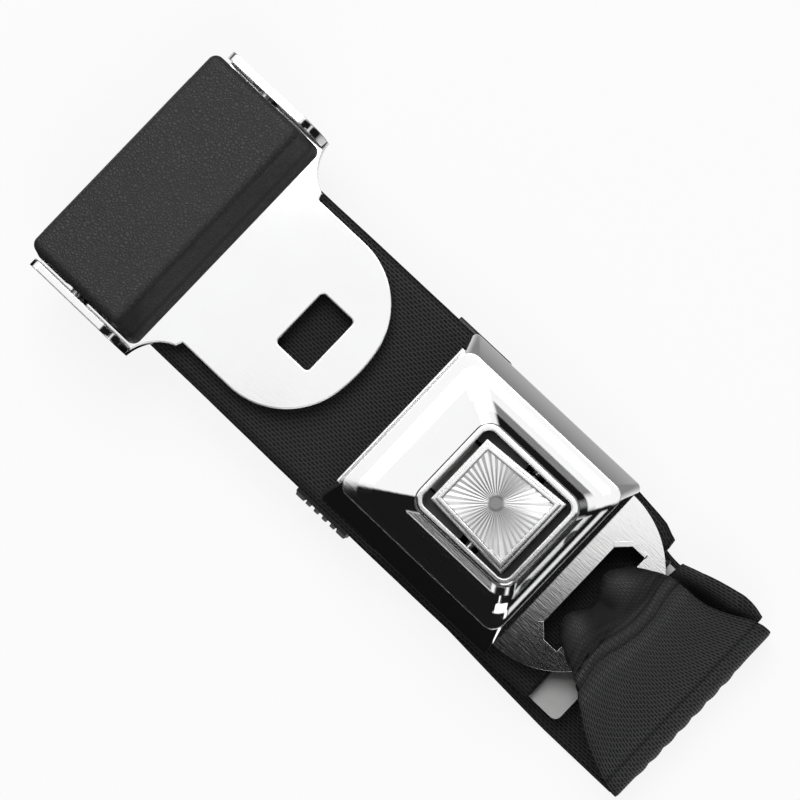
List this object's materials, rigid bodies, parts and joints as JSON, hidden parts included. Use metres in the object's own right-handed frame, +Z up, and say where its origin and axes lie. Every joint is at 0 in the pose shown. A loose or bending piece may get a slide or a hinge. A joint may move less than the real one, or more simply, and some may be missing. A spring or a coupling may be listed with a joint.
{
  "type": "lap belt",
  "caption": "Folded two-point lap belt: adjustable tongue with a grained adjuster cover, and a chromed push-button buckle on folded black webbing",
  "frame": {"origin": "middle of the bundle's bounding box in plan, on the surface it lies on", "axes": "+X along the belt from the adjuster to the end of the buckle strap, +Y across the belt, +Z up"},
  "size_m": [0.169, 0.062, 0.0297],
  "materials": {
    "webbing": "black woven polyester webbing with a fine twill",
    "black_rubber": "black moulded keeper, satin",
    "chrome": "polished chrome plating",
    "grained_plastic": "black plastic with a moulded leather grain",
    "bright_insert": "bright fluted foil",
    "plated_steel": "zinc-plated pressed steel",
    "spring_steel": "spring steel, oiled",
    "black_plastic": "black moulded plastic"
  },
  "bodies": {
    "belt": {"tongue_webbing": "webbing", "buckle_strap": "webbing", "tongue_anchor_plate": "plated_steel", "buckle_anchor_plate": "plated_steel", "tongue_plate": "chrome", "adjuster_cover": "grained_plastic", "cap_spring": "spring_steel"},
    "keeper": {"webbing_keeper": "black_rubber"},
    "bar": {"lock_bar": "plated_steel"},
    "buckle": {"buckle_base": "chrome", "buckle_cover": "chrome", "latch_pin": "plated_steel", "latch_spring": "spring_steel", "button_springs": "spring_steel", "ejector_spring": "spring_steel", "spring_post": "plated_steel", "base_rivets": "plated_steel"},
    "button": {"push_button": "black_plastic", "button_frame": "chrome", "button_insert": "bright_insert"},
    "pawl": {"latch": "plated_steel"},
    "pusher": {"ejector": "black_plastic"}
  },
  "joints": [
    {"name": "buckle_tilt", "type": "hinge", "parent": "belt", "child": "buckle", "pos_m": [0.0555, -0.0005, 0.0149], "axis": [0, 1, 0], "range_deg": [0, 9]},
    {"name": "button_press", "type": "slide", "parent": "buckle", "child": "button", "axis": [0, 0, -1], "range_m": [0, 0.0022], "stiffness_N_per_m": 700, "springref_m": -0.001, "deforming": ["button_springs"]},
    {"name": "latch_tilt", "type": "hinge", "parent": "buckle", "child": "pawl", "pos_m": [0.028, -0.0005, 0.0204], "axis": [0, 1, 0], "range_deg": [0, 8.5]},
    {"name": "ejector_slide", "type": "slide", "parent": "buckle", "child": "pusher", "axis": [1, 0, 0], "range_m": [0, 0.0076], "stiffness_N_per_m": 150, "springref_m": -0.002},
    {"name": "bar_slide", "type": "slide", "parent": "belt", "child": "bar", "axis": [-1, 0, 0], "range_m": [0, 0.0024], "stiffness_N_per_m": 400, "springref_m": -0.0005},
    {"name": "keeper_slide", "type": "slide", "parent": "belt", "child": "keeper", "axis": [1, 0, 0], "range_m": [-0.001, 0.003]}
  ],
  "couplings": [
    {"joint": "latch_tilt", "follows": "button_press", "rad_per_m": 67.43}
  ]
}
